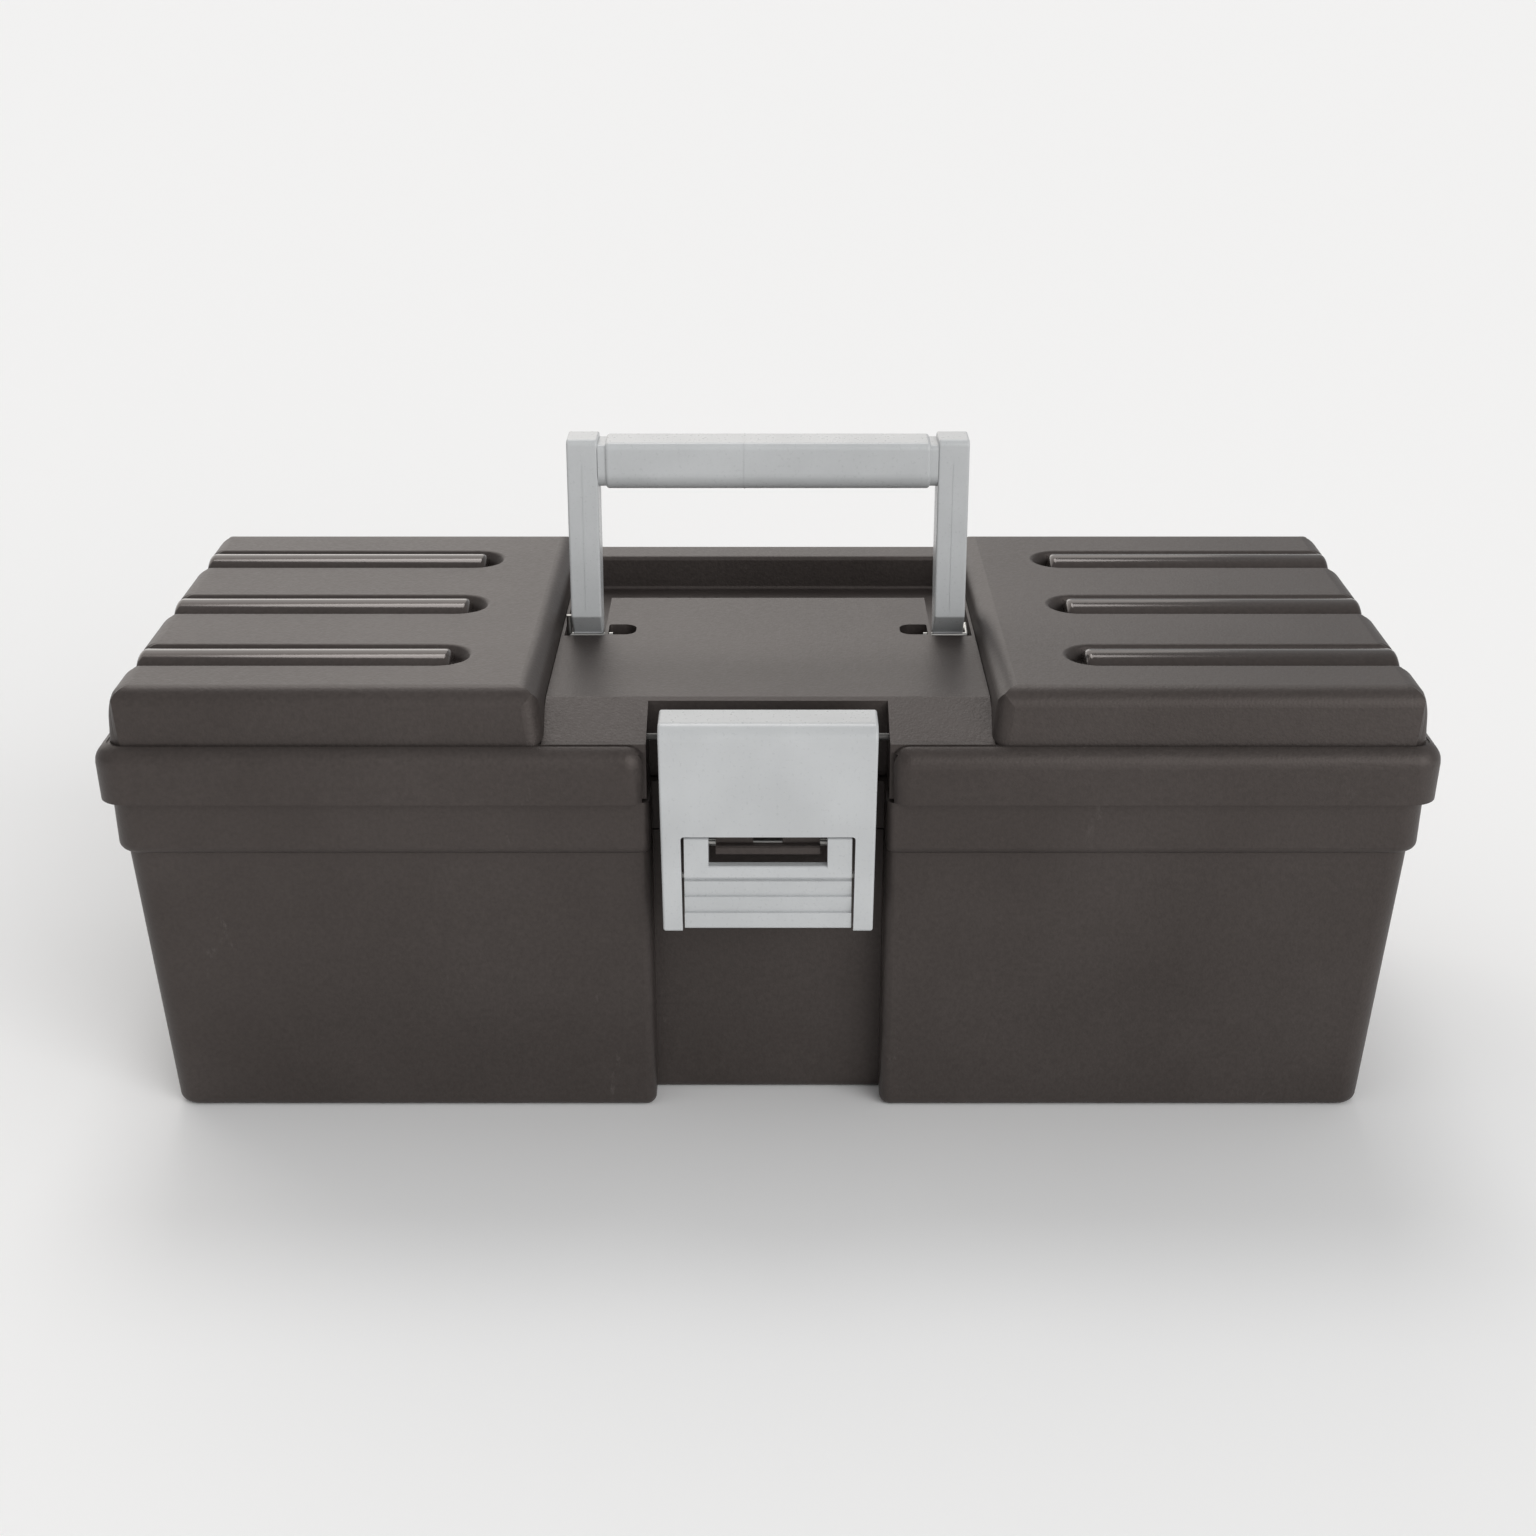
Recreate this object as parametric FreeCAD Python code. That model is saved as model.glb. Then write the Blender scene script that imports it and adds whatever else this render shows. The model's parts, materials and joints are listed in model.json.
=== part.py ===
"""Sixteen-inch moulded toolbox: tapered body, hinged lid, folding carry handle, draw latch and lift-out tray.

Millimetres. The origin is the middle of the base, +Z up, the latch faces -Y, and the left side is -X.
Every function below makes one kind of piece; the list at the end names each piece and writes its STEP file.
"""
import FreeCAD, Part
import math
import os

V = FreeCAD.Vector

# ---- overall ----
RIM_X, RIM_Y = 203.6, 92.0            # half length and half depth over the lid skirt
SKIRT_Z0, LEDGE_Z = 111.0, 129.0      # skirt's lower edge, and the ledge that the raised panels stand on
PANEL_Z, PLATEAU_Z = 145.4, 136.4     # top of the raised panels, and of the platform between them
RIM_CORNER = 8.5

# ---- body ----
BASE_X, BASE_Y = 190.8, 77.5          # half sizes at the floor
DRAFT_X, DRAFT_Y = 0.070, 0.0822      # outward lean of the walls per mm of height
BAND_Z, BODY_TOP = 93.0, 126.2        # the band that stands proud under the lid, and the body's rim
BAND_X, BAND_Y = 200.5, 88.4
WALL, FLOOR = 2.6, 2.8
BODY_CORNER, BAND_CORNER = 7.0, 8.0

# ---- latch recess in body and lid ----
RECESS_X = 36.0
RECESS_Y0, RECESS_Y1 = -65.5, -70.5   # recess floor at the base, and under the lid
NOTCH_X, NOTCH_Y = 36.8, -66.8        # the lid's notch above it
RIM_GAP = 0.7                         # between the body's rim and the lid around it

# ---- lid ----
LID_WALL = 2.4
LID_UNDER = 126.4                     # underside that rests on the body's rim
PANEL_X0, PANEL_X1 = 67.3, 199.0      # inner and outer ends of a raised panel at its foot
PANEL_Y = 86.8
PANEL_EDGE, RIM_EDGE = 6.0, 6.0         # roll along the top of a panel, and along the top of the skirt
PANEL_LEAN = 2.4                      # how far the panel's walls lean in, foot to top
GROOVES_Y = (-51.5, 0.0, 51.5)
GROOVE_W, GROOVE_D, GROOVE_X0 = 20.0, 4.8, 92.5
GROOVE_RUN = 3.2                      # how far a groove's side leans in on its way down
BEAD_R, BEAD_W, BEAD_TOP = 11.0, 16.0, 1.4   # polished bead in a groove, and how far it stands above the panel
BULGE = 1.4                           # how far the ridges between grooves stand out at the panel's end
CREASE_Y, PLATEAU_REAR = -65.0, 35.0
RIDGE_Y, RIDGE_Z = 71.0, 140.4        # rear ridge behind the handle's well
WELL_Z = 128.4                        # floor of the well and of the arm channels
CHANNEL_X0, CHANNEL_Y0 = 54.0, -6.0

# ---- hinge ----
HINGE_Y, HINGE_Z = 90.7, 106.5
KNUCKLE_R, HINGE_PIN_R = 2.7, 1.25
KNUCKLE_W, KNUCKLE_GAP, HINGE_X = 11.6, 0.5, 110.0

# ---- handle ----
PIVOT_Y, PIVOT_Z = 0.0, 134.6
ARM_X0, ARM_X1, ARM_D = 54.7, 64.7, 14.0
HANDLE_TOP, GRIP_BOTTOM = 202.4, 185.6
WIRE_R = 0.9

# ---- latch ----
LATCH_Y, LATCH_Z = -78.5, 128.4       # pin through the lid
LEVER_Y, LEVER_Z = -87.5, 86.5        # rod through the frame's legs
CATCH_Y, CATCH_Z = -84.6, 96.2        # steel pin that the body's hook holds down
FRAME_X, FRAME_FRONT, FRAME_BOTTOM = 33.0, -93.4, 70.0
LEG_X, LEVER_X = 26.5, 25.5
CUTOUT_TOP, LEVER_TOP, LEVER_BOTTOM = 101.5, 100.7, 70.6
LEDGES = (75.9, 81.3, 86.5)             # finger ledges on the lever
WINDOW_X, WINDOW_Z, HOOK_X = 18.1, 91.4, 15.9
PIN_R = 1.1
FIT = 0.06                            # running clearance on a radius

# ---- tray ----
TRAY_REST, TRAY_BOTTOM = 95.75, 58.0
TRAY_X, TRAY_Y = 192.3, 80.3          # half sizes of the pan at its flange
TRAY_WALL = 1.9


# helpers
def box(x0, x1, y0, y1, z0, z1):
    return Part.makeBox(x1 - x0, y1 - y0, z1 - z0, V(x0, y0, z0))


def rod_x(y, z, r, x0, x1):
    """Cylinder along X."""
    return Part.makeCylinder(r, x1 - x0, V(x0, y, z), V(1, 0, 0))


def prism_x(points, x0, x1):
    """Polygon of (y, z) points, extruded along X."""
    face = Part.Face(Part.makePolygon([V(x0, y, z) for y, z in points + points[:1]]))
    return face.extrude(V(x1 - x0, 0, 0))


def prism_y(points, y0, y1):
    """Polygon of (x, z) points, extruded along Y."""
    face = Part.Face(Part.makePolygon([V(x, y0, z) for x, z in points + points[:1]]))
    return face.extrude(V(0, y1 - y0, 0))


def prism_z(points, z0, z1):
    """Polygon of (x, y) points, extruded along Z."""
    face = Part.Face(Part.makePolygon([V(x, y, z0) for x, y in points + points[:1]]))
    return face.extrude(V(0, 0, z1 - z0))


def round_rect(x0, x1, y0, y1, r, z):
    """Wire of a rectangle with round corners; r is one radius or four, anticlockwise from (x1, y1)."""
    radii = list(r) if isinstance(r, (tuple, list)) else [r] * 4
    corners = [(x1, y1, 1, 1), (x0, y1, -1, 1), (x0, y0, -1, -1), (x1, y0, 1, -1)]
    arcs = []
    for k, ((x, y, sx, sy), c) in enumerate(zip(corners, radii)):
        centre = V(x - sx * c, y - sy * c, z)
        start = k * math.pi / 2
        turns = [start + a for a in (0, math.pi / 4, math.pi / 2)]
        points = [centre + V(c * math.cos(a), c * math.sin(a), 0) for a in turns]
        arcs.append(Part.Arc(*points).toShape())
    edges = []
    for k, arc in enumerate(arcs):
        following = arcs[(k + 1) % 4]
        edges += [arc, Part.makeLine(arc.lastVertex().Point, following.firstVertex().Point)]
    return Part.Wire(edges)


def frustum(low, high, r0, r1, z0, z1):
    """Solid between two round-cornered rectangles; low and high are (x0, x1, y0, y1)."""
    return Part.makeLoft([round_rect(*low, r0, z0), round_rect(*high, r1, z1)], True, True)


def centred(hx, hy):
    return (-hx, hx, -hy, hy)


def mirror_x(shape):
    return shape.mirror(V(0, 0, 0), V(1, 0, 0))


def both_sides(shape):
    return [shape, mirror_x(shape)]


def rounded(shape, radius, chosen):
    """Fillets the edges for which chosen(edge) is true."""
    edges = [e for e in shape.Edges if chosen(e)]
    return shape.makeFillet(radius, edges)


def near(a, b, tol=0.02):
    return abs(a - b) < tol


def level(e, z):
    """True for an edge that lies wholly at height z."""
    return near(e.BoundBox.ZMin, z) and near(e.BoundBox.ZMax, z)


def recess_block(grow, z_top):
    """The space in front of the body's latch recess, grown by a wall thickness."""
    lean = (RECESS_Y1 - RECESS_Y0) / SKIRT_Z0
    back = RECESS_Y0 + grow
    deep = [(-140, -5), (back - 5 * lean, -5), (back + z_top * lean, z_top), (-140, z_top)]
    return prism_x(deep, -RECESS_X - grow, RECESS_X + grow)


def rim_relief(grow):
    """Where the lid's notch walls hang down outside the body's rim."""
    z0 = SKIRT_Z0 - 0.5
    return box(-NOTCH_X - LID_WALL - RIM_GAP - grow, NOTCH_X + LID_WALL + RIM_GAP + grow,
               -140, NOTCH_Y + LID_WALL + RIM_GAP + grow, z0 - grow, BODY_TOP + 5)


def mouth(e):
    """True for the two upright edges where the latch recess meets the front."""
    box_ = e.BoundBox
    return box_.XLength < 3 and box_.ZLength > 3 and box_.YMax < -72 and near(abs(box_.Center.x), RECESS_X, 1.2)


def body_outer():
    top = centred(BASE_X + BAND_Z * DRAFT_X, BASE_Y + BAND_Z * DRAFT_Y)
    shell = frustum(centred(BASE_X, BASE_Y), top, BODY_CORNER, BODY_CORNER, 0, BAND_Z + 1)
    shell = shell.cut(recess_block(0, SKIRT_Z0))
    shell = rounded(shell, 3.2, lambda e: level(e, 0) or mouth(e))
    slim = centred(BAND_X - 0.9, BAND_Y - 0.9)
    band = frustum(slim, centred(BAND_X, BAND_Y), BAND_CORNER, BAND_CORNER, BAND_Z, BODY_TOP)
    band = band.cut(recess_block(0, BODY_TOP + 10))
    band = rounded(band, 2.6, lambda e: level(e, BAND_Z) or mouth(e))
    hidden = box(-220, 220, -110, 110, SKIRT_Z0 + 1, BODY_TOP + 1)
    rim = frustum(slim, slim, BAND_CORNER - 0.5, BAND_CORNER - 0.5, BAND_Z, BODY_TOP + 2)
    return shell.fuse(band.cut(hidden.cut(rim)))


def hook():
    """Catch moulded on the recess floor: a shelf over the steel pin, a lip in front of it and a sight notch."""
    r = PIN_R + 0.1
    wall, lip = CATCH_Y - r - 0.8, -89.2
    shelf = [(-69.5, 102.2), (-84.0, 101.6), (wall, 100.2), (wall, 96.9), (lip + 0.5, 96.6), (lip, 96.1),
             (lip, 94.2), (lip + 0.3, 93.9), (-86.8, 93.9), (CATCH_Y - r, 94.6), (CATCH_Y - r, CATCH_Z),
             (CATCH_Y - 0.7 * r, CATCH_Z + 0.7 * r), (CATCH_Y, CATCH_Z + r), (CATCH_Y + 3.0, CATCH_Z + r),
             (-78.0, 97.0), (-69.5, 90.5)]
    solid = prism_x(shelf, -HOOK_X, HOOK_X)
    return solid.cut(box(-4.5, 4.5, wall - 0.05, CATCH_Y + 1.0, 95.2, 105))


def knuckles(own):
    """Hinge barrels, centred on X = 0; own picks the body's three (0, 2, 4) or the lid's two (1, 3)."""
    spans = []
    for k in own:
        x0 = (k - 2.5) * KNUCKLE_W + KNUCKLE_GAP / 2
        spans.append((x0, x0 + KNUCKLE_W - KNUCKLE_GAP))
    return spans


def body_hinge(x_mid):
    solid = None
    for x0, x1 in knuckles((0, 2, 4)):
        barrel = rod_x(HINGE_Y, HINGE_Z, KNUCKLE_R, x_mid + x0, x_mid + x1)
        web = prism_x([(BAND_Y - 2, HINGE_Z + 2.4), (HINGE_Y, HINGE_Z + 2.4), (HINGE_Y, HINGE_Z - 3.7),
                       (BAND_Y - 2, HINGE_Z - 9)],
                      x_mid + x0, x_mid + x1)
        solid = barrel.fuse(web) if solid is None else solid.fuse([barrel, web])
    return solid.cut(rod_x(HINGE_Y, HINGE_Z, HINGE_PIN_R + 0.02, x_mid - 40, x_mid + 40))


def box_body():
    outer = body_outer()
    outer = outer.cut(rim_relief(0))
    low = (BASE_X - WALL, BASE_Y - WALL)
    rise = BAND_Z + 5
    high = centred(low[0] + rise * DRAFT_X, low[1] + rise * DRAFT_Y)
    cavity = frustum(centred(*low), high, BODY_CORNER - 2, BODY_CORNER - 2, FLOOR, FLOOR + rise)
    cavity = rounded(cavity, 3.0, lambda e: level(e, FLOOR))
    shelf_z = TRAY_REST - 0.15
    rim = centred(BAND_X - WALL, BAND_Y - WALL)
    upper = frustum(rim, rim, BAND_CORNER - 2, BAND_CORNER - 2, shelf_z, BODY_TOP + 10)
    cavity = cavity.common(box(-210, 210, -100, 100, 0, shelf_z + 1)).fuse(upper)
    cavity = cavity.cut(recess_block(WALL, SKIRT_Z0 - 0.5)).cut(rim_relief(WALL))
    body = outer.cut(cavity).fuse(hook())
    for x_mid in (-HINGE_X, HINGE_X):
        bore = rod_x(HINGE_Y, HINGE_Z, HINGE_PIN_R + 0.02, x_mid - 40, x_mid + 40)
        body = body.fuse(body_hinge(x_mid)).cut(bore)
    ribs = [box(x - 0.9, x + 0.9, -60, 66, FLOOR - 0.5, FLOOR + 1.6) for x in (-120, -60, 60, 120)]
    return body.fuse(ribs)


# lid
def arc_pair(points, radius_at):
    """Closed face from (u, v) corners; radius_at maps a corner's index to the radius of its rounding."""
    n = len(points)
    ends = []
    for k, (u, v) in enumerate(points):
        r = radius_at.get(k, 0)
        before, after = points[k - 1], points[(k + 1) % n]
        a = (before[0] - u, before[1] - v)
        b = (after[0] - u, after[1] - v)
        la, lb = math.hypot(*a), math.hypot(*b)
        a, b = (a[0] / la, a[1] / la), (b[0] / lb, b[1] / lb)
        if not r:
            ends.append(((u, v), None, (u, v)))
            continue
        half = math.acos(max(-1, min(1, a[0] * b[0] + a[1] * b[1]))) / 2
        t = r / math.tan(half)
        m = (a[0] + b[0], a[1] + b[1])
        lm = math.hypot(*m)
        d = r / math.sin(half) - r
        middle = (u + m[0] / lm * d, v + m[1] / lm * d)
        ends.append(((u + a[0] * t, v + a[1] * t), middle, (u + b[0] * t, v + b[1] * t)))
    return ends


def shaped(points, radius_at, place, sweep):
    """Extrudes a rounded polygon; place turns its (u, v) into a point and sweep is the extrusion vector."""
    edges = []
    ends = arc_pair(points, radius_at)
    for k, (start, middle, stop) in enumerate(ends):
        if middle:
            edges.append(Part.Arc(place(*start), place(*middle), place(*stop)).toShape())
        following = ends[(k + 1) % len(ends)][0]
        if math.hypot(following[0] - stop[0], following[1] - stop[1]) > 1e-6:
            edges.append(Part.makeLine(place(*stop), place(*following)))
    return Part.Face(Part.Wire(edges)).extrude(sweep)


def shaped_x(points, radius_at, x0, x1):
    return shaped(points, radius_at, lambda y, z: V(x0, y, z), V(x1 - x0, 0, 0))


def shaped_y(points, radius_at, y0, y1):
    return shaped(points, radius_at, lambda x, z: V(x, y0, z), V(0, y1 - y0, 0))


def shaped_z(points, radius_at, z0, z1):
    return shaped(points, radius_at, lambda x, y: V(x, y, z0), V(0, 0, z1 - z0))


def panel_solid(inset):
    """Right-hand raised panel; inset shrinks it by a wall thickness for the hollow underneath."""
    x0, x1 = PANEL_X0 + inset, PANEL_X1 - BULGE - inset
    y1, top = PANEL_Y - inset, PANEL_Z - inset
    foot, lean = LEDGE_Z - 5, PANEL_LEAN
    round_end, edge = 5.0 - inset * 0.6, max(0.6, PANEL_EDGE - inset)
    side = shaped_y([(x0 - 0.3, foot), (x1, foot), (x1 - 0.6, top), (x0 + lean, top)],
                    {2: round_end, 3: edge}, -100, 100)
    ends = shaped_x([(-y1, foot), (y1, foot), (y1 - lean, top), (lean - y1, top)], {2: edge, 3: edge}, 0, 220)
    plan = shaped_z([(x0 - 5, -y1), (x1, -y1), (x1, y1), (x0 - 5, y1)],
                    {1: 5.0 - inset, 2: 5.0 - inset}, foot, top + 1)
    solid = side.common(ends).common(plan)
    if inset:
        return solid
    corner = frustum((x0 - 0.3, x1 + 30, -y1, y1), (x0 + lean, x1 + 30, lean - y1, y1 - lean),
                     5.0, 5.0, foot, top)
    return solid.common(corner)


def ridge_end(front, rear):
    """Swollen outer end of a ridge, shrinking in height and width as it turns down.

    Each side is (y at the top, how far it draws in, radius of its top edge, how far it leans out at the foot).
    """
    run, drop, foot = 6.5, 7.0, LEDGE_Z - 2
    x0 = PANEL_X1 - run
    wires = []
    for degrees in (0, 20, 38, 54, 68, 80, 90):
        s, c = math.sin(math.radians(degrees)), 1 - math.cos(math.radians(degrees))
        x, top = x0 + run * s, PANEL_Z - drop * c
        outline = []
        for (y, draw, r, lean), way in ((front, 1), (rear, -1)):
            edge = y + way * draw * c
            low = edge - way * lean * r / (PANEL_Z - foot)
            k = 0.293 * r
            outline.append([V(x, edge - way * lean, foot), V(x, low, top - r),
                            V(x, low + way * k, top - k), V(x, edge + way * r, top)])
        (a0, a1, a2, a3), (b0, b1, b2, b3) = outline
        edges = [Part.makeLine(a0, b0), Part.makeLine(b0, b1), Part.Arc(b1, b2, b3).toShape(),
                 Part.makeLine(b3, a3), Part.Arc(a3, a2, a1).toShape(), Part.makeLine(a1, a0)]
        wires.append(Part.Wire(edges))
    return Part.makeLoft(wires, True, False)


def ridge_ends():
    """The four swollen ends beside the three grooves of the right-hand panel."""
    half = GROOVE_W / 2 + 0.2
    outer = (PANEL_Y - PANEL_LEAN, 5.0, PANEL_EDGE, PANEL_LEAN * 0.86)
    sides = [(-outer[0],) + outer[1:]]
    for y in GROOVES_Y:
        sides += [(y - half, 4.6, 1.3, 0.0), (y + half, 1.2, 1.3, 0.0)]
    sides.append(outer)
    return [ridge_end(sides[k], sides[k + 1]) for k in range(0, len(sides), 2)]


def groove_section():
    """(y, z) outline of a groove's open cross-section and the radii of its lips and floor corners."""
    half, t, d = GROOVE_W / 2, PANEL_Z, GROOVE_D
    points = [(-half - 4, t + 4), (half + 4, t + 4), (half + 4, t), (half, t), (half - GROOVE_RUN, t - d),
              (GROOVE_RUN - half, t - d), (-half, t), (-half - 4, t)]
    return points, {3: 1.6, 4: 2.6, 5: 2.6, 6: 1.6}


def groove():
    """Groove with a full-round inner end, open at the panel's outer side."""
    points, radii = groove_section()
    half = GROOVE_W / 2
    centre = GROOVE_X0 + half
    straight = shaped_x(points, radii, centre, PANEL_X1 + 30)
    right = [(0, PANEL_Z + 4)] + points[1:5] + [(0, PANEL_Z - GROOVE_D)]
    edges = []
    ends = arc_pair(right, {3: 1.6, 4: 2.6})
    for k, (start, middle, stop) in enumerate(ends):
        if middle:
            edges.append(Part.Arc(*[V(centre, y, z) for y, z in (start, middle, stop)]).toShape())
        following = ends[(k + 1) % len(ends)][0]
        edges.append(Part.makeLine(V(centre, *stop), V(centre, *following)))
    turned = Part.Face(Part.Wire(edges)).revolve(V(centre, 0, 0), V(0, 0, 1), 180)
    return straight.fuse(turned)


def bead():
    """Polished half-round bead that fills a groove, with rounded ends."""
    z = PANEL_Z + BEAD_TOP
    half = BEAD_W / 2
    solid = rod_x(0, z - BEAD_R, BEAD_R, GROOVE_X0 + 6.0, PANEL_X1 - BULGE - 2.0)
    solid = solid.common(box(0, 220, -half, half, PANEL_Z - GROOVE_D - 0.8, z + 1))
    return rounded(solid, 2.0, lambda e: e.BoundBox.XLength < 0.01 and e.BoundBox.YLength > 5 and
                   e.BoundBox.ZMax > z - 1)


def groove_webs():
    """The lid's material under the grooves, kept when the panel is hollowed."""
    half = GROOVE_W / 2 + LID_WALL
    low = PANEL_Z - GROOVE_D - LID_WALL
    return [box(GROOVE_X0 - LID_WALL, 220, y - half, y + half, low, PANEL_Z) for y in GROOVES_Y]


def lid_centre():
    """Platform between the panels: front slope, flat top, and the ridge behind the handle's well."""
    rear = PANEL_Y - 0.4
    points = [(-PANEL_Y, LID_UNDER - 1), (-PANEL_Y, LEDGE_Z), (-84.0, LEDGE_Z), (CREASE_Y, PLATEAU_Z),
              (RIDGE_Y, PLATEAU_Z), (RIDGE_Y, RIDGE_Z), (rear - 0.8, RIDGE_Z), (rear, LEDGE_Z), (rear, LID_UNDER - 1)]
    return shaped_x(points, {3: 2.0, 5: 1.5, 6: 2.5}, -PANEL_X0 - 1.0, PANEL_X0 + 1.0)


def lid_hollows():
    """Everything scooped from the lid's underside."""
    z0 = SKIRT_Z0 - 2
    top = PLATEAU_Z - LID_WALL
    over_rim = centred(BAND_X + 0.55, BAND_Y + 0.55)
    hollow = frustum(over_rim, over_rim, BAND_CORNER, BAND_CORNER, z0, LID_UNDER)
    pocket = panel_solid(LID_WALL).cut(groove_webs())
    hollow = hollow.fuse([pocket, mirror_x(pocket)])
    front = box(-PANEL_X0 + 2, PANEL_X0 - 2, -61, CHANNEL_Y0 - 6.5, LID_UNDER - 1, top)
    narrow, wide, rear = CHANNEL_X0 - 16.5, CHANNEL_X0 - LID_WALL, PLATEAU_REAR - LID_WALL
    middle = box(-narrow, narrow, CHANNEL_Y0 - 7, rear, LID_UNDER - 1, top)
    side = box(-wide, wide, 13, rear, LID_UNDER - 1, top)
    ridge = box(-PANEL_X0 + 2, PANEL_X0 - 2, RIDGE_Y + LID_WALL, PANEL_Y - 4, LID_UNDER - 1, RIDGE_Z - LID_WALL)
    return hollow.fuse([front, middle, side, ridge])


def lid_notch():
    """Opening for the latch in the lid's front, with round corners at the foot of its back wall."""
    return box(-NOTCH_X, NOTCH_X, -140, NOTCH_Y, SKIRT_Z0 - 5, PANEL_Z)


def notch_mouth(e):
    """True for the two upright edges where the lid's notch meets the skirt's front."""
    b = e.BoundBox
    return b.XLength < 0.1 and b.ZLength > 5 and b.YMax < -85 and near(abs(b.XMin), NOTCH_X, 0.1)


def handle_well():
    """Recess that takes the folded handle: a well for the grip and a channel for each arm."""
    well = box(-PANEL_X0, PANEL_X0, PLATEAU_REAR, RIDGE_Y, WELL_Z, PANEL_Z + 2)
    well = rounded(well, 1.2, lambda e: level(e, WELL_Z) and e.BoundBox.XLength > 50)
    arms = [box(CHANNEL_X0, PANEL_X0, CHANNEL_Y0, PLATEAU_REAR + 2, WELL_Z, PANEL_Z + 2)]
    arms.append(mirror_x(arms[0]))
    return well.fuse(arms)


def pin_slot():
    """Oval sight slot in the platform beside an arm, across the inner end of the pivot wire."""
    radii_low, radii_top = (1.0, 3.6, 3.6, 1.0), (1.0, 4.0, 4.0, 1.0)
    low, high = (44.2, 52.8, -4.4, 5.4), (43.7, 53.0, -4.9, 5.9)
    return frustum(low, high, radii_low, radii_top, PIVOT_Z - 3.4, PLATEAU_Z + 1)


def lid_hinge(x_mid):
    solids = []
    for x0, x1 in knuckles((1, 3)):
        solids.append(rod_x(HINGE_Y, HINGE_Z, KNUCKLE_R, x_mid + x0, x_mid + x1))
        strap = [(HINGE_Y - 1.9, HINGE_Z), (HINGE_Y + 1.2, HINGE_Z), (HINGE_Y + 0.9, SKIRT_Z0 + 2),
                 (BAND_Y + 0.7, SKIRT_Z0 + 2)]
        solids.append(prism_x(strap, x_mid + x0, x_mid + x1))
    return solids


def lid_shell():
    low, high = centred(RIM_X - 0.8, RIM_Y - 0.8), centred(RIM_X, RIM_Y)
    skirt = frustum(low, high, RIM_CORNER, RIM_CORNER, SKIRT_Z0, LEDGE_Z)
    skirt = skirt.cut(lid_notch())
    skirt = rounded(skirt, RIM_EDGE, lambda e: notch_mouth(e) or level(e, LEDGE_Z) and
                    (e.BoundBox.YMin < -85 or e.BoundBox.YMax > 85))
    foot = centred(PANEL_X1 + 0.8, PANEL_Y + 0.9)
    seam = frustum(foot, foot, 5.5, 5.5, LEDGE_Z - 0.8, LEDGE_Z + 1)
    skirt = skirt.cut(seam)
    panel = panel_solid(0).fuse(ridge_ends())
    for y in GROOVES_Y:
        tool, strip = groove(), bead()
        tool.translate(V(0, y, 0))
        strip.translate(V(0, y, 0))
        panel = panel.cut(tool).fuse(strip)
    lid = skirt.fuse([panel, mirror_x(panel), lid_centre()])
    lid = lid.cut(lid_hollows())
    wide = NOTCH_X + LID_WALL
    walls = box(-wide, wide, -RIM_Y + RIM_EDGE, NOTCH_Y + LID_WALL, SKIRT_Z0 + 0.01, LEDGE_Z)
    slope = prism_x([(-100, SKIRT_Z0 - 1), (-100, LEDGE_Z - 1), (-84, LEDGE_Z - 1),
                     (NOTCH_Y + 5, PLATEAU_Z - 3), (NOTCH_Y + 5, SKIRT_Z0 - 1)], -60, 60)
    back = box(-wide, wide, NOTCH_Y - 1, NOTCH_Y + LID_WALL, SKIRT_Z0 + 0.01, PLATEAU_Z - 3.5)
    lid = lid.fuse([walls, back.common(slope)])
    lid = lid.cut(lid_notch()).cut(handle_well())
    for x_mid in (-HINGE_X, HINGE_X):
        lid = lid.fuse(lid_hinge(x_mid))
        lid = lid.cut(rod_x(HINGE_Y, HINGE_Z, HINGE_PIN_R + FIT, x_mid - 40, x_mid + 40))
    pivot = rod_x(PIVOT_Y, PIVOT_Z, WIRE_R + 0.01, 40.6, 60)
    lid = lid.cut([pin_slot(), mirror_x(pin_slot()), pivot, mirror_x(pivot)])
    return lid.cut(rod_x(LATCH_Y, LATCH_Z, PIN_R + 0.01, -NOTCH_X - 2.0, NOTCH_X + 2.0))


# hinge pins
def hinge_pin(x_mid):
    reach = 2.5 * KNUCKLE_W + 1.2
    pin = rod_x(HINGE_Y, HINGE_Z, HINGE_PIN_R, x_mid - reach, x_mid + reach)
    return pin.makeChamfer(0.3, pin.Edges[:1] + pin.Edges[2:])


# handle
def arm_profile():
    """(y, z) outline of an arm: flat top, and a foot cut away in front so that the wire shows."""
    d, foot = ARM_D / 2, 5.0
    return [(-d, HANDLE_TOP), (d, HANDLE_TOP), (d, PIVOT_Z + 30), (foot + 0.3, PIVOT_Z + 4),
            (foot * 0.7, PIVOT_Z - foot * 0.7),
            (-0.55, PIVOT_Z - foot * 0.7), (-0.55, PIVOT_Z + 1.3), (-d, PIVOT_Z + 8.5)]


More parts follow.
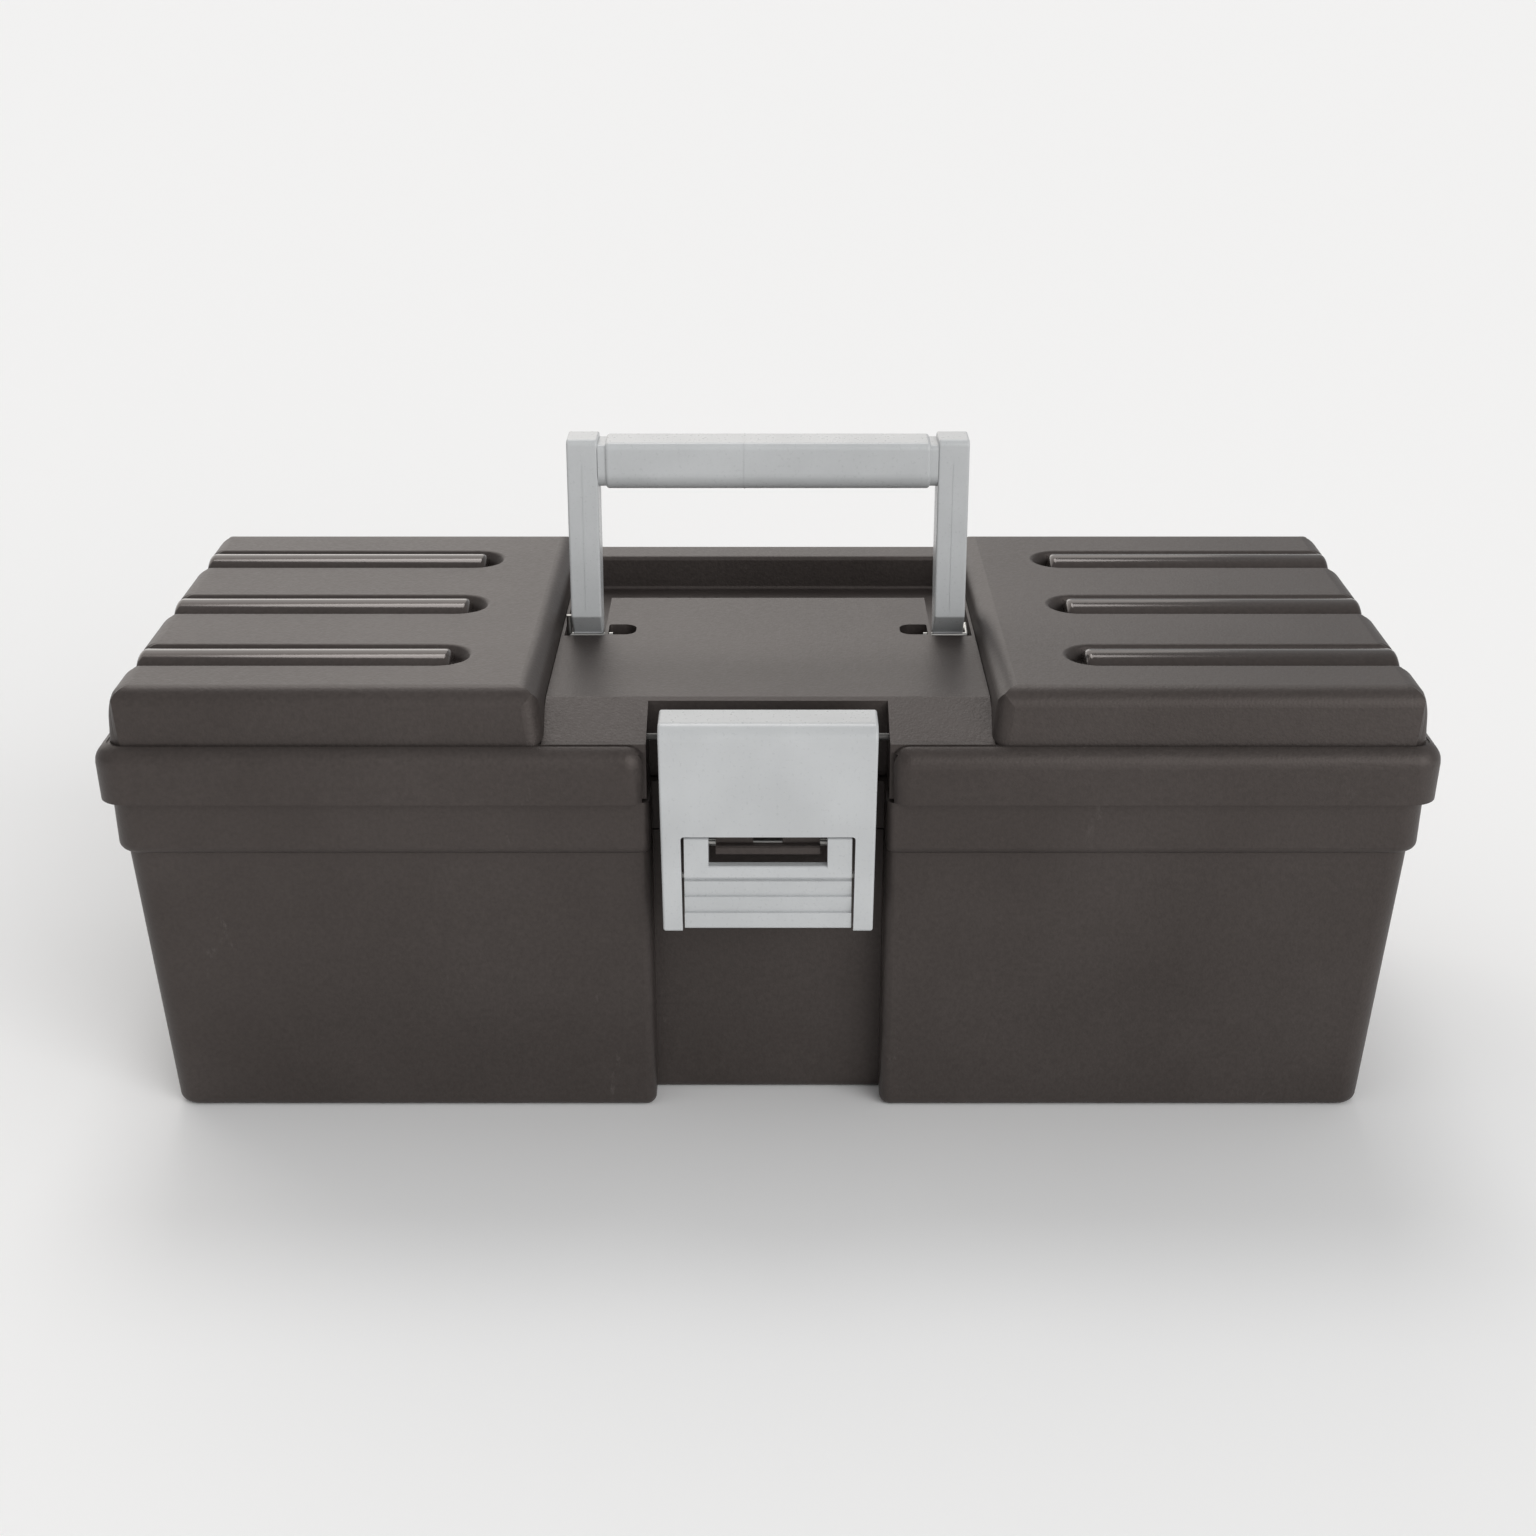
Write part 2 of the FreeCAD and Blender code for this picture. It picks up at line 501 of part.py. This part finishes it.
def handle_arm():
    """Right-hand arm, socketed for the tube at its top and hooked over the pivot wire at its foot."""
    arm = shaped_x(arm_profile(), {0: 2.0, 1: 2.0, 2: 20, 3: 4, 4: 2.5, 5: 1.0, 7: 1.0}, ARM_X0, ARM_X1)
    arm = rounded(arm, 0.7, lambda e: near(e.BoundBox.XMin, e.BoundBox.XMax) and e.BoundBox.ZMin > PIVOT_Z + 8)
    middle = (ARM_X0 + ARM_X1) / 2
    arm = arm.fuse(box(middle - 0.15, middle + 0.15, -ARM_D / 2 - 0.12, 0, PIVOT_Z + 11, HANDLE_TOP - 8))
    arm = arm.cut(rod_x(PIVOT_Y, PIVOT_Z, WIRE_R + FIT, ARM_X0 - 1, ARM_X1 + 1))
    return arm.cut(rod_x(0, grip_z(), 4.0 + 0.01, ARM_X0 - 1, ARM_X1 - 2.5))


def grip_z():
    return (HANDLE_TOP - 0.9 + GRIP_BOTTOM) / 2


def handle_grip():
    """Moulded sleeve between the arms, with a slimmer collar at each end and the mould's fine flash line."""
    top = HANDLE_TOP - 0.9
    half = ARM_D / 2 + 0.9
    end = ARM_X0 - 2.4
    outline = [(-half, top), (half, top), (half, GRIP_BOTTOM), (-half, GRIP_BOTTOM)]

    def scaled(k):
        return [(y * k, grip_z() + (z - grip_z()) * k) for y, z in outline]
    grip = shaped_x(outline, {0: 2.2, 1: 2.2, 2: 6.0, 3: 6.0}, -end, end)
    grip = rounded(grip, 1.1, lambda e: near(e.BoundBox.XMin, e.BoundBox.XMax))
    collar = shaped_x(scaled(0.9), {0: 1.8, 1: 1.8, 2: 5.0, 3: 5.0}, -ARM_X0, ARM_X0)
    flash = shaped_x(scaled(1.016), {0: 2.2, 1: 2.2, 2: 6.0, 3: 6.0}, -7.7, -7.4)
    return grip.fuse([collar, flash]).cut(rod_x(0, grip_z(), 4.0 + 0.01, -ARM_X0 - 1, ARM_X0 + 1))


def handle_rod():
    """Steel tube inside the grip, socketed into both arms."""
    tube = rod_x(0, grip_z(), 4.0, 2.6 - ARM_X1, ARM_X1 - 2.6)
    return tube.cut(rod_x(0, grip_z(), 2.8, -ARM_X1, ARM_X1))


def pivot_wire(turn):
    """Right-hand pivot: wire through the arm, its outer end bent to an L that stands up or lies back."""
    leg_x = ARM_X1 + 0.35 + WIRE_R
    straight = rod_x(PIVOT_Y, PIVOT_Z, WIRE_R, 51.6, leg_x)
    knee = Part.makeSphere(WIRE_R, V(leg_x, PIVOT_Y, PIVOT_Z))
    leg = Part.makeCylinder(WIRE_R, 7.0, V(leg_x, PIVOT_Y, PIVOT_Z), V(0, math.sin(turn), math.cos(turn)))
    return straight.fuse([knee, leg])


# latch
def latch_frame():
    """Outer frame of the draw latch, hung from the lid: a cap, two legs and a cutout for the lever."""
    f, top, lean = FRAME_FRONT, PLATEAU_Z + 0.4, 0.9
    leg, back = f + 5.2, -77.0
    outline = [(f, FRAME_BOTTOM), (leg, FRAME_BOTTOM), (leg, 112.0), (back, 123.0), (back, top), (f, top)]
    solid = shaped_x(outline, {0: 1.0, 1: 1.0, 3: 2.0, 4: 0.9, 5: 4.8}, -FRAME_X - 1, FRAME_X + 1)
    solid = solid.common(prism_y([(lean - FRAME_X, FRAME_BOTTOM - 1), (FRAME_X - lean, FRAME_BOTTOM - 1),
                                  (FRAME_X, top + 1), (-FRAME_X, top + 1)], f - 1, -70))
    solid = rounded(solid, 0.8, lambda e: e.BoundBox.XLength < 1 and e.BoundBox.ZMax > 80 and
                    abs(e.BoundBox.Center.x) > FRAME_X - 1.2)
    inside = FRAME_X - 3.6
    hollow = [(f + 3.0, 106.0), (-70, 106.0), (-70, 120.0), (-82.0, 122.5), (f + 3.0, 120.5)]
    solid = solid.cut(prism_x(hollow, -inside, inside))
    cutout = shaped_y([(0.4 - LEG_X, FRAME_BOTTOM - 3), (LEG_X - 0.4, FRAME_BOTTOM - 3),
                       (LEG_X, CUTOUT_TOP), (-LEG_X, CUTOUT_TOP)],
                      {2: 1.0, 3: 1.0}, f - 1, -70)
    solid = solid.cut(cutout)
    solid = solid.cut(rod_x(LATCH_Y, LATCH_Z, PIN_R + FIT, -FRAME_X - 1, FRAME_X + 1))
    return solid.cut(rod_x(LEVER_Y, LEVER_Z, PIN_R + 0.01, 3.0 - FRAME_X, FRAME_X - 3.0))


def latch_lever():
    """Pull lever inside the frame: three finger ledges, a window, and two ears that hold the catch pin."""
    f, step = FRAME_FRONT + 0.9, 1.0
    front = [(f + 3.4, WINDOW_Z), (f + 3.4, LEVER_BOTTOM), (f + 0.2, LEVER_BOTTOM)]
    for z in LEDGES:
        front += [(f, z), (f + step, z + 0.1)]
    front += [(f, LEDGES[-1] + 1.3), (f, WINDOW_Z)]
    plate = shaped_x(front, {2: 0.6, len(front) - 1: 0.8}, -LEVER_X, LEVER_X)
    ear = [(f + step, LEDGES[-1]), (f, LEDGES[-1] + 1.3), (f, LEVER_TOP), (f + 9.6, LEVER_TOP),
           (f + 10.6, 95.0), (f + 6.0, 87.0),
           (f + 5.2, LEVER_BOTTOM + 1), (f + 2.5, LEVER_BOTTOM + 1)]
    ears = shaped_x(ear, {2: 0.8, 3: 2.0, 4: 2.0}, WINDOW_X, LEVER_X)
    rib = box(WINDOW_X - 1, LEVER_X - 2.4, f + 3.4, f + 12, LEVER_BOTTOM - 1, WINDOW_Z - 1.5)
    ears = ears.cut(rib)
    boss = rod_x(LEVER_Y, LEVER_Z, PIN_R + 1.7, LEVER_X - 5, LEVER_X).common(box(0, 60, f + 2.0, -60, 60, 110))
    solid = plate.fuse(both_sides(ears) + both_sides(boss))
    solid = solid.cut(rod_x(CATCH_Y, CATCH_Z, PIN_R + 0.01, 1.5 - LEVER_X, LEVER_X - 1.5))
    return solid.cut(rod_x(LEVER_Y, LEVER_Z, PIN_R + FIT, -LEVER_X - 1, LEVER_X + 1))


def latch_pin():
    return rod_x(LATCH_Y, LATCH_Z, PIN_R, -NOTCH_X - 1.9, NOTCH_X + 1.9)


def catch_pin():
    return rod_x(CATCH_Y, CATCH_Z, PIN_R, -LEVER_X + 1.6, LEVER_X - 1.6)


def lever_pins():
    """Pair of short pivots pressed into the frame's legs; their inner ends carry the lever."""
    pin = rod_x(LEVER_Y, LEVER_Z, PIN_R, LEVER_X - 4.5, FRAME_X - 3.2)
    return Part.makeCompound(both_sides(pin))


# tray
def tray_outline(grow, z):
    """Plan of the tray: a rectangle that steps back around the latch recess."""
    hx, hy = TRAY_X + grow, TRAY_Y + grow
    nx, ny = RECESS_X + 10.5 - grow, RECESS_Y0 + 6.6 - grow * 0.5
    points = [(-hx, -hy), (-nx, -hy), (-nx, ny), (nx, ny), (nx, -hy), (hx, -hy), (hx, hy), (-hx, hy)]
    return points


def tray_block(grow, z0, z1):
    return shaped_z(tray_outline(grow, z0), {0: 7, 1: 3, 2: 3, 3: 3, 4: 3, 5: 7, 6: 7, 7: 7}, z0, z1)


def tray_shell():
    """Lift-out pan with a hanging flange, a spine with a hand-hold, and slots for the loose dividers."""
    pan = rounded(tray_block(-1.5, TRAY_BOTTOM, TRAY_REST + 1.2), 2.5, lambda e: level(e, TRAY_BOTTOM))
    flange = tray_block(2.9, TRAY_REST, TRAY_REST + 2.0).cut(rim_relief(WALL + 0.5))
    pan = pan.fuse(flange)
    pan = pan.cut(tray_block(-1.5 - TRAY_WALL, TRAY_BOTTOM + TRAY_WALL, TRAY_REST + 10))
    y = 10.0
    spine = shaped_y([(-TRAY_X + 3, TRAY_BOTTOM + 1), (TRAY_X - 3, TRAY_BOTTOM + 1), (TRAY_X - 3, TRAY_REST),
                      (74, TRAY_REST),
                      (62, 121.0), (-62, 121.0), (-74, TRAY_REST), (-TRAY_X + 3, TRAY_REST)],
                     {3: 4, 4: 8, 5: 8, 6: 4}, y - 1.3, y + 1.3)
    hand = shaped_y([(-48, 94), (48, 94), (48, 114), (-48, 114)], {0: 9, 1: 9, 2: 9, 3: 9}, y - 5, y + 5)
    bead = shaped_x([(y - 4, 117.4), (y + 4, 117.4), (y + 4, 121.4), (y - 4, 121.4)],
                    {0: 1.6, 1: 1.6, 2: 1.6, 3: 1.6}, -58, 58)
    pan = pan.fuse([spine.cut(hand), bead])
    for x in DIVIDERS:
        for side, reach in ((1, TRAY_Y - 1.5 - TRAY_WALL), (-1, y - 1.3)):
            for off in (-1.9, 1.1):
                a = (reach - 1.8, reach + 0.3) if side > 0 else (y + 1.0, y + 3.1)
                pan = pan.fuse(box(x + off, x + off + 0.8, a[0], a[1], TRAY_BOTTOM + 1, TRAY_REST - 4))
    return pan


DIVIDERS = (-118.0, -42.0, 42.0, 118.0)


def tray_divider(x):
    """Loose plate that drops between two ribs on the back wall and two on the spine."""
    y0, y1 = 10.0 + 1.3 + 0.35, TRAY_Y - 1.5 - TRAY_WALL - 0.35
    z0, z1 = TRAY_BOTTOM + TRAY_WALL + 0.01, TRAY_REST - 3.0
    plate = shaped_x([(y0, z0), (y1, z0), (y1, z1), (y0, z1)], {2: 2.5, 3: 2.5}, x - 0.85, x + 0.85)
    return plate


# write the files
def pieces():
    yield "box_body", box_body()
    yield "lid_shell", lid_shell()
    yield "hinge_pin_left", hinge_pin(-HINGE_X)
    yield "hinge_pin_right", hinge_pin(HINGE_X)
    yield "handle_arm_left", mirror_x(handle_arm())
    yield "handle_arm_right", handle_arm()
    yield "handle_grip", handle_grip()
    yield "handle_rod", handle_rod()
    yield "pivot_wire_left", mirror_x(pivot_wire(0))
    yield "pivot_wire_right", pivot_wire(math.radians(78))
    yield "latch_frame", latch_frame()
    yield "latch_lever", latch_lever()
    yield "latch_hinge_pin", latch_pin()
    yield "latch_catch_pin", catch_pin()
    yield "latch_lever_pins", lever_pins()
    yield "tray_shell", tray_shell()
    for k, x in enumerate(DIVIDERS):
        yield "tray_divider_%d" % (k + 1), tray_divider(x)


os.makedirs("parts", exist_ok=True)
for name, shape in pieces():
    shape.exportStep("parts/%s.step" % name)
    b = shape.BoundBox
    print("%-18s solids %d valid %s  x %.1f..%.1f  y %.1f..%.1f  z %.1f..%.1f" % (
        name, len(shape.Solids), shape.isValid(), b.XMin, b.XMax, b.YMin, b.YMax, b.ZMin, b.ZMax))
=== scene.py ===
import bpy
import bmesh
import json
import math
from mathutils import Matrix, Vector

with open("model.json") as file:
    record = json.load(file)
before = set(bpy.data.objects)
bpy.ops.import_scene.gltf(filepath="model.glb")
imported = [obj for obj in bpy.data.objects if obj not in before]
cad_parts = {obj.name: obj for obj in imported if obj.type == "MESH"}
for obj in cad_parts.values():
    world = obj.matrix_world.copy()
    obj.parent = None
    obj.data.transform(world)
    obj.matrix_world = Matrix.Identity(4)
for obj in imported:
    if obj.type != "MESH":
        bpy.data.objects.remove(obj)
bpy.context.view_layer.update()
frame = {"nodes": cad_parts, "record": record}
nodes = frame["nodes"]
scene = bpy.context.scene
mm = 0.001
print("frame loaded:", len(nodes), "nodes")

# the camera stands in front of the latch and looks a little down
view = {"lens": 56.72, "sensor": 36, "near": 0.01,
        "height": 0.39057, "back": 0.76486, "pitchDown": 21.65}
cameraData = bpy.data.cameras.new("camera")
cameraData.lens = view["lens"]
cameraData.sensor_width = view["sensor"]
cameraData.clip_start = view["near"]
camera = bpy.data.objects.new("camera", cameraData)
camera.location = (0, -view["back"], view["height"])
camera.rotation_euler = (math.radians(90 - view["pitchDown"]), 0, 0)
scene.collection.objects.link(camera)
scene.camera = camera
print("camera done")


def linear(hexColour):
    # sRGB hex to the linear values that the shader sockets take
    values = [int(hexColour[i:i + 2], 16) / 255 for i in (1, 3, 5)]
    return tuple(v / 12.92 if v <= 0.04045 else ((v + 0.055) / 1.055) ** 2.4 for v in values) + (1.0,)


def add(tree, kind, settings=None, links=None):
    # one shader node: its settings by property or socket name, its links by socket name or number
    node = tree.nodes.new(kind)
    for key, value in (settings or {}).items():
        if isinstance(key, str) and hasattr(node, key) and key not in node.inputs:
            setattr(node, key, value)
        else:
            node.inputs[key].default_value = value
    for key, source in (links or {}).items():
        tree.links.new(source, node.inputs[key])
    return node


def startMaterial(name, settings):
    # a bare shader and output, and the place on the object that its patterns read
    material = bpy.data.materials.new(name)
    material.use_nodes = True
    tree = material.node_tree
    tree.nodes.clear()
    shader = add(tree, "ShaderNodeBsdfPrincipled", settings)
    add(tree, "ShaderNodeOutputMaterial", links={"Surface": shader.outputs["BSDF"]})
    place = add(tree, "ShaderNodeTexCoord").outputs["Object"]
    return material, tree, shader, place


def beadMask(tree, place, bead):
    # 1 on the raised beads in the floors of the lid's six grooves, and 0 elsewhere
    axes = add(tree, "ShaderNodeSeparateXYZ", links={"Vector": place})
    across = add(tree, "ShaderNodeMath", {"operation": "PINGPONG", 1: bead["pitchMm"] * mm / 2},
                 {0: axes.outputs["Y"]})
    outward = add(tree, "ShaderNodeMath", {"operation": "ABSOLUTE"}, {0: axes.outputs["X"]})
    # what is measured, where its edge is, and the value before and after that edge
    edges = [(across.outputs[0], bead["halfMm"], 1.0, 0.0),
             (outward.outputs[0], bead["startMm"], 0.0, 1.0),
             (axes.outputs["Z"], bead["floorMm"], 0.0, 1.0),
             (axes.outputs["Z"], bead["lipMm"], 1.0, 0.0)]
    steps = []
    for measure, edgeAtMm, before, after in edges:
        start = edgeAtMm * mm
        step = add(tree, "ShaderNodeMapRange",
                   {"From Min": start, "From Max": start + bead["edgeMm"] * mm,
                    "To Min": before, "To Max": after},
                   {"Value": measure})
        steps.append(step.outputs["Result"])
    mask = steps[0]
    for step in steps[1:]:
        mask = add(tree, "ShaderNodeMath", {"operation": "MULTIPLY"}, {0: mask, 1: step}).outputs[0]
    return mask


# how the patterns of every moulded plastic are drawn
# each range is the part of a noise's values that is spread over the whole effect
moulding = {"pebbleSmoothness": 0.6,
            "dustPerGrain": 0.6, "dustDetail": 3.0, "dustRoughness": 0.6, "dustRange": (0.3, 0.7),
            "dustHeight": 0.8, "roughnessSpread": 0.04,
            "cloudDetail": 3.0, "cloudRange": (0.34, 0.66),
            "scuffDetail": 6.0, "scuffRoughness": 0.75, "scuffRange": (0.66, 0.78),
            "scuffTurn": (0.4, 0.2, 0.5), "scuffStretch": (1.0, 1.0, 0.35)}


def mouldedPlastic(name, recipe):
    # The spark-eroded mould leaves a pebble grain, and the flow of the melt leaves faint broad clouds
    # in the shade. The real grain is about 0.4 mm and is drawn coarser so that it shows.
    # Handling leaves sparse scuffs, paler than the dark plastic and darker than the grey one.
    material, tree, shader, place = startMaterial(
        name, {"IOR": recipe["ior"], "Specular Tint": linear(recipe["sheen"])})
    grain = recipe["grainMm"] * mm
    dustLow, dustHigh = moulding["dustRange"]
    cloudLow, cloudHigh = moulding["cloudRange"]
    scuffLow, scuffHigh = moulding["scuffRange"]
    pebble = add(tree, "ShaderNodeTexVoronoi",
                 {"feature": "SMOOTH_F1", "Scale": 1 / grain, "Smoothness": moulding["pebbleSmoothness"]},
                 {"Vector": place})
    dust = add(tree, "ShaderNodeTexNoise",
               {"Scale": moulding["dustPerGrain"] / grain, "Detail": moulding["dustDetail"],
                "Roughness": moulding["dustRoughness"]},
               {"Vector": place})
    cloud = add(tree, "ShaderNodeTexNoise",
                {"Scale": 1 / (recipe["cloudMm"] * mm), "Detail": moulding["cloudDetail"]},
                {"Vector": place})
    scuffPlace = add(tree, "ShaderNodeMapping",
                     {"Rotation": moulding["scuffTurn"], "Scale": moulding["scuffStretch"]},
                     {"Vector": place})
    scuff = add(tree, "ShaderNodeTexNoise",
                {"Scale": 1 / (recipe["scuffMm"] * mm), "Detail": moulding["scuffDetail"],
                 "Roughness": moulding["scuffRoughness"]},
                {"Vector": scuffPlace.outputs["Vector"]})
    scuffed = add(tree, "ShaderNodeMapRange",
                  {"From Min": scuffLow, "From Max": scuffHigh, "To Max": recipe["scuff"]},
                  {"Value": scuff.outputs["Fac"]})
    tone = add(tree, "ShaderNodeMapRange", {"From Min": cloudLow, "From Max": cloudHigh},
               {"Value": cloud.outputs["Fac"]})
    shade = add(tree, "ShaderNodeMix",
                {"data_type": "RGBA", 6: linear(recipe["dark"]), 7: linear(recipe["light"])},
                {0: tone.outputs["Result"]})
    speck = add(tree, "ShaderNodeMapRange",
                {"From Min": dustLow, "From Max": dustHigh, "To Min": 1 - recipe["fleck"]},
                {"Value": dust.outputs["Fac"]})
    flecked = add(tree, "ShaderNodeVectorMath", {"operation": "MULTIPLY"},
                  {0: shade.outputs[2], 1: speck.outputs["Result"]})
    worn = add(tree, "ShaderNodeMix", {"data_type": "RGBA", 7: linear(recipe["worn"])},
               {0: scuffed.outputs["Result"], 6: flecked.outputs["Vector"]})
    tree.links.new(worn.outputs[2], shader.inputs["Base Color"])
    roughened = add(tree, "ShaderNodeMapRange",
                    {"From Min": dustLow, "From Max": dustHigh,
                     "To Min": recipe["roughness"] - moulding["roughnessSpread"],
                     "To Max": recipe["roughness"] + moulding["roughnessSpread"]},
                    {"Value": dust.outputs["Fac"]})
    rough = roughened.outputs["Result"]
    height = add(tree, "ShaderNodeMath", {"operation": "MULTIPLY_ADD", 1: moulding["dustHeight"]},
                 {0: dust.outputs["Fac"], 2: pebble.outputs["Distance"]})
    bump = add(tree, "ShaderNodeBump", {"Distance": recipe["reliefMm"] * mm, "Strength": recipe["bump"]},
               {"Height": height.outputs[0]})
    if "bead" in recipe:
        # the mould's bead is polished, so the bead is glossy and has no grain
        mask = beadMask(tree, place, recipe["bead"])
        glossy = add(tree, "ShaderNodeMix", {"data_type": "FLOAT", 3: recipe["bead"]["roughness"]},
                     {0: mask, 2: rough})
        grained = add(tree, "ShaderNodeMapRange", {"To Min": recipe["bump"], "To Max": 0.0}, {"Value": mask})
        tree.links.new(grained.outputs["Result"], bump.inputs["Strength"])
        rough = glossy.outputs[0]
    tree.links.new(rough, shader.inputs["Roughness"])
    tree.links.new(bump.outputs["Normal"], shader.inputs["Normal"])
    return material


# polypropylene for the box, lid and tray, and ABS for the handle and latch
boxPlastic = {"dark": "#332e2c", "light": "#3b3634", "worn": "#6f6a67", "sheen": "#fff2ec",
              "roughness": 0.46, "ior": 1.49, "grainMm": 0.85, "cloudMm": 60, "scuffMm": 14,
              "scuff": 0.35, "fleck": 0.28, "bump": 0.8, "reliefMm": 0.05}
lidPlastic = dict(boxPlastic, bead={"pitchMm": 51.5, "halfMm": 8.3, "startMm": 98.3, "floorMm": 141.5,
                                    "lipMm": 149.0, "edgeMm": 0.3, "roughness": 0.12})
greyPlastic = {"dark": "#b4b6b7", "light": "#bcbebf", "worn": "#9a9c9d", "sheen": "#ffffff",
               "roughness": 0.3, "ior": 1.49, "grainMm": 0.7, "cloudMm": 25, "scuffMm": 9,
               "scuff": 0.3, "fleck": 0.03, "bump": 0.12, "reliefMm": 0.03}
trayPlastic = dict(boxPlastic, dark="#4b4744", light="#534f4c")


def drawnSteel(name, wire):
    # Zinc-plated steel wire with fine draw lines. They are stretched along X, which is the length
    # of every steel piece apart from the pivot wires' bent ends.
    material, tree, shader, place = startMaterial(name, {"Metallic": 1.0})
    line = wire["lineMm"] * mm
    stretch = add(tree, "ShaderNodeMapping",
                  {"Scale": (1 / (line * wire["lineStretch"]), 1 / line, 1 / line)},
                  {"Vector": place})
    lines = add(tree, "ShaderNodeTexNoise", {"Scale": 1.0, "Detail": wire["lineDetail"]},
                {"Vector": stretch.outputs["Vector"]})
    rough = add(tree, "ShaderNodeMapRange",
                {"To Min": wire["roughness"] - wire["roughnessSpread"],
                 "To Max": wire["roughness"] + wire["roughnessSpread"]},
                {"Value": lines.outputs["Fac"]})
    tint = add(tree, "ShaderNodeMix",
               {"data_type": "RGBA", 6: linear(wire["dark"]), 7: linear(wire["light"])},
               {0: lines.outputs["Fac"]})
    tree.links.new(rough.outputs["Result"], shader.inputs["Roughness"])
    tree.links.new(tint.outputs[2], shader.inputs["Base Color"])
    return material


wireSteel = {"dark": "#8f8e8b", "light": "#b4b3b0", "roughness": 0.32, "roughnessSpread": 0.1,
             "lineMm": 0.25, "lineStretch": 60, "lineDetail": 2.0}
finishes = {"body_plastic": mouldedPlastic("polypropyleneCharcoalGrained", boxPlastic),
            "handle_plastic": mouldedPlastic("absSilverGreyHandle", greyPlastic),
            "latch_plastic": mouldedPlastic("absSilverGreyLatch", dict(greyPlastic, bump=0.08, fleck=0.02)),
            "tray_plastic": mouldedPlastic("polypropyleneGreyTray", trayPlastic),
            "steel": drawnSteel("zincPlatedSteelWire", wireSteel)}
# a darker copy of the wire steel for the latch's hinge pin: its darker colour is painted shade, for the
# shadow that the pin sits in
shadedPinSteel = drawnSteel("zincPlatedSteelPaintedShade",
                       dict(wireSteel, dark="#4a4947", light="#636260", roughness=0.45))
lidFinish = mouldedPlastic("polypropyleneCharcoalWithPolishedBeads", lidPlastic)
# nodes that differ from the rest of their slot; the hinge pin's darker steel is painted shade
ownFinish = {"lid_shell": lidFinish, "latch_hinge_pin": shadedPinSteel}
for part in frame["record"]["subparts"]:
    node = nodes[part["node"]]
    if not node.material_slots:
        node.data.materials.append(None)
    for slot in node.material_slots:
        slot.material = ownFinish.get(part["node"], finishes[part["material_slot"]])
print("materials done")

# a pale matt paper sweep under the box, its size in metres
sweep = {"size": 40.0, "colour": "#f3f3f3", "roughness": 1.0, "shine": 0.0}
floorShape = bmesh.new()
bmesh.ops.create_grid(floorShape, x_segments=1, y_segments=1, size=sweep["size"] / 2)
floorMesh = bpy.data.meshes.new("floor")
floorShape.to_mesh(floorMesh)
floorShape.free()
floor = bpy.data.objects.new("floor", floorMesh)
scene.collection.objects.link(floor)
paperSettings = {"Roughness": sweep["roughness"], "Base Color": linear(sweep["colour"]),
                 "Specular IOR Level": sweep["shine"]}
floorMesh.materials.append(startMaterial("paperSweep", paperSettings)[0])


def distantLight(name, lightSet):
    # a soft light so far off that the whole paper gets the same from it
    lamp = bpy.data.lights.new(name, "SUN")
    lamp.energy = lightSet["strength"]
    lamp.color = lightSet["colour"]
    lamp.angle = math.radians(lightSet["spread"])
    holder = bpy.data.objects.new(name, lamp)
    turn = math.radians(lightSet["turn"])
    height = math.radians(lightSet["height"])
    level = math.cos(height)
    towards = Vector((math.sin(turn) * level, -math.cos(turn) * level, math.sin(height)))
    holder.rotation_euler = towards.to_track_quat("Z", "Y").to_euler()
    scene.collection.objects.link(holder)


# in degrees, turn is the angle round from the front, to the right, height is the angle above the floor,
# and spread is how wide the light looks
lights = {
    "rearLight": {"turn": 202, "height": 27, "spread": 60, "strength": 0.85, "colour": (1.0, 0.95, 0.9)},
    "highLight": {"turn": 184, "height": 58, "spread": 22, "strength": 0.55, "colour": (1.0, 1.0, 1.0)},
    "frontFill": {"turn": 35, "height": 22, "spread": 50, "strength": 1.6, "colour": (1.0, 1.0, 1.0)}}
for lightName, lightSet in lights.items():
    distantLight(lightName, lightSet)
room = {"colour": (1, 1, 1, 1), "strength": 0.53}
scene.view_settings.view_transform = "Standard"
world = bpy.data.worlds.new("studio")
scene.world = world
world.use_nodes = True
world.node_tree.nodes["Background"].inputs["Color"].default_value = room["colour"]
world.node_tree.nodes["Background"].inputs["Strength"].default_value = room["strength"]
print("stage and light done")
